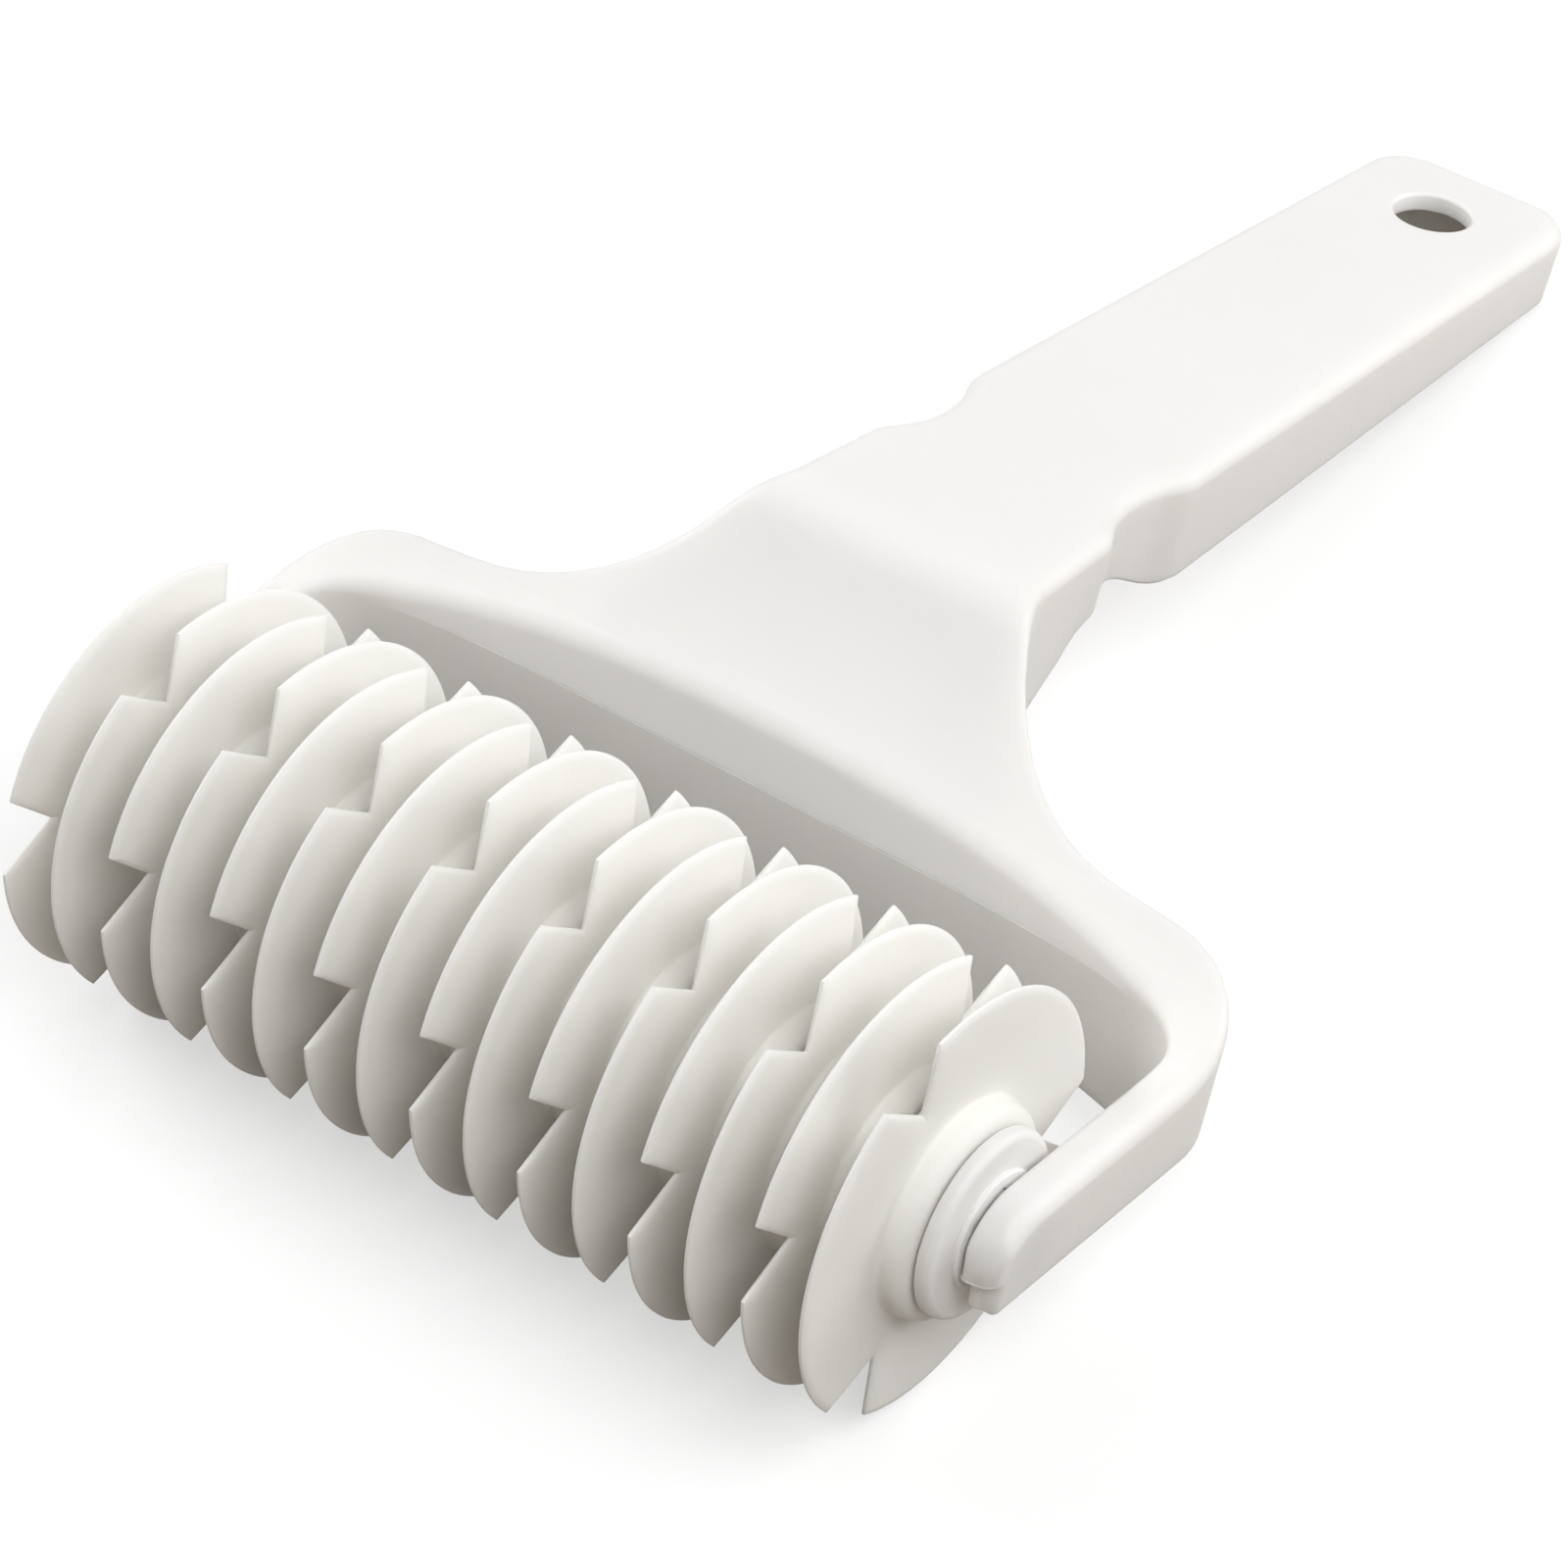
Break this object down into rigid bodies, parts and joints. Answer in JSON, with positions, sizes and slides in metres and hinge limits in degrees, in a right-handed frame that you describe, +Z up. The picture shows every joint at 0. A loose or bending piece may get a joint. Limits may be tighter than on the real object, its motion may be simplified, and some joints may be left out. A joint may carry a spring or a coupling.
{
  "type": "lattice roller cutter",
  "caption": "Hand-held pastry roller with thin notched discs on a shaft that turns in a fork with a grip; cuts a lattice of slits into rolled dough.",
  "frame": {"origin": "on the table under the middle of the tool's box, with the tool lying on its discs and on the end of its grip", "axes": "+Z up, +Y from the roller towards the end of the grip, X along the axle"},
  "size_m": [0.1216, 0.2016, 0.0454],
  "materials": {
    "handle_plastic": "satin white moulded plastic",
    "disc_plastic": "satin warm white moulded plastic",
    "shaft_plastic": "plain white moulded plastic",
    "cap_plastic": "satin white moulded plastic"
  },
  "bodies": {
    "frame": {"fork_handle": "handle_plastic"},
    "roller": {"cutting_disc_01": "disc_plastic", "cutting_disc_02": "disc_plastic", "cutting_disc_03": "disc_plastic", "cutting_disc_04": "disc_plastic", "cutting_disc_05": "disc_plastic", "cutting_disc_06": "disc_plastic", "cutting_disc_07": "disc_plastic", "cutting_disc_08": "disc_plastic", "cutting_disc_09": "disc_plastic", "cutting_disc_10": "disc_plastic", "cutting_disc_11": "disc_plastic", "cutting_disc_12": "disc_plastic", "cutting_disc_13": "disc_plastic", "cutting_disc_14": "disc_plastic", "cutting_disc_15": "disc_plastic", "cutting_disc_16": "disc_plastic", "axle_shaft": "shaft_plastic", "left_end_cap": "cap_plastic", "right_end_cap": "cap_plastic"}
  },
  "joints": [
    {"name": "roller_spin", "type": "hinge", "parent": "frame", "child": "roller", "pos_m": [0, -0.07816, 0.02271], "axis": [1, 0, 0], "continuous": true}
  ]
}
